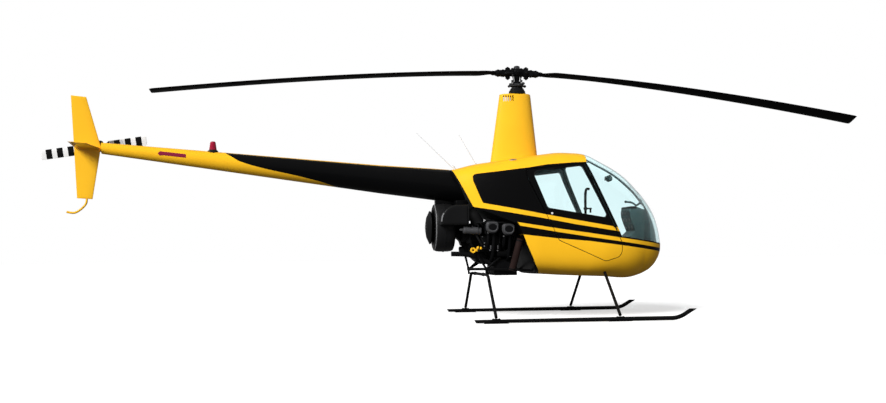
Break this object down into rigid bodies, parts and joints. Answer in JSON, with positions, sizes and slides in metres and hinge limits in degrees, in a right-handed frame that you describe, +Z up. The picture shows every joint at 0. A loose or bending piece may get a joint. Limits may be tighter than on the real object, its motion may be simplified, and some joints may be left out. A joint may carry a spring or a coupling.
{
  "type": "light two-seat helicopter",
  "caption": "Light helicopter with a slim tail boom, a tall mast fairing, a bubble windshield, hinged doors, turning rotors and tubular skids.",
  "frame": {"origin": "on the ground under the middle of the whole machine with its main blades fore and aft", "axes": "+X towards the nose, +Y towards its left side, +Z up"},
  "size_m": [8.7996, 1.922, 2.69],
  "materials": {
    "yellow_skin": "gloss",
    "yellow_shell": "gloss",
    "black_shell": "gloss",
    "boom_skin": "gloss black and yellow paint",
    "blade_paint": "satin black paint",
    "banded_paint": "black and white bands",
    "clear_glass": "clear",
    "dark_trim": "matt",
    "black_steel": "painted black",
    "gear_paint": "painted black",
    "cast_metal": "cast, dull",
    "engine_metal": "dull",
    "duct_shell": "matt",
    "seat_cloth": "woven",
    "hose_cloth": "cloth faced",
    "red_lens": "clear red",
    "whip_paint": "satin"
  },
  "bodies": {
    "airframe": {"aft_cowl": "black_shell", "air_hose": "hose_cloth", "alternator": "black_steel", "antenna_a": "whip_paint", "antenna_b": "whip_paint", "beacon": "red_lens", "cabin_roof": "yellow_shell", "cabin_tub": "yellow_shell", "collective": "black_steel", "console": "dark_trim", "cooling_duct": "duct_shell", "cyclic": "black_steel", "cylinders_left": "cast_metal", "cylinders_right": "cast_metal", "engine_block": "engine_metal", "engine_frame": "black_steel", "fan_scroll": "duct_shell", "fin_lower": "yellow_skin", "fin_upper": "yellow_skin", "front_strut_left": "black_steel", "front_strut_right": "black_steel", "mast_fairing": "yellow_shell", "muffler": "black_steel", "rear_cross_tube": "black_steel", "seat_back_left": "seat_cloth", "seat_back_right": "seat_cloth", "seat_base": "dark_trim", "seat_cushion_left": "seat_cloth", "seat_cushion_right": "seat_cloth", "skid_left": "gear_paint", "skid_right": "gear_paint", "stabilizer": "yellow_skin", "swash_boot": "dark_trim", "tail_boom": "boom_skin", "tail_gearbox": "cast_metal", "tail_skid": "yellow_skin", "windshield_bow": "dark_trim", "windshield_left": "clear_glass", "windshield_right": "clear_glass"},
    "main_rotor": {"main_mast": "black_steel", "swash_ring": "cast_metal", "rotor_hub": "black_steel", "blade_grip_a": "black_steel", "blade_grip_b": "black_steel", "main_blade_a": "blade_paint", "main_blade_b": "blade_paint"},
    "tail_rotor": {"tail_hub": "black_steel", "tail_blade_a": "banded_paint", "tail_blade_b": "banded_paint"},
    "fan": {"fan_wheel": "cast_metal"},
    "door_right": {"door_right": "black_shell", "door_window_right": "clear_glass"},
    "door_left": {"door_left": "black_shell", "door_window_left": "clear_glass"}
  },
  "joints": [
    {"name": "main_rotor_spin", "type": "hinge", "parent": "airframe", "child": "main_rotor", "pos_m": [0.56482, 0, 2.607], "axis": [0, 0, 1], "continuous": true},
    {"name": "tail_rotor_spin", "type": "hinge", "parent": "airframe", "child": "tail_rotor", "pos_m": [-3.86518, 0.27, 1.811], "axis": [0, 1, 0], "continuous": true},
    {"name": "fan_spin", "type": "hinge", "parent": "airframe", "child": "fan", "pos_m": [-0.36018, 0, 0.955], "axis": [1, 0, 0], "continuous": true},
    {"name": "door_right_hinge", "type": "hinge", "parent": "airframe", "child": "door_right", "pos_m": [1.49882, -0.574, 0.838], "axis": [-0.4012, 0.0802, 0.9125], "range_deg": [0, 80]},
    {"name": "door_left_hinge", "type": "hinge", "parent": "airframe", "child": "door_left", "pos_m": [1.49882, 0.574, 0.838], "axis": [0.4012, 0.0802, -0.9125], "range_deg": [0, 80]}
  ],
  "couplings": [
    {"joint": "tail_rotor_spin", "follows": "main_rotor_spin", "ratio": 6.66}
  ]
}
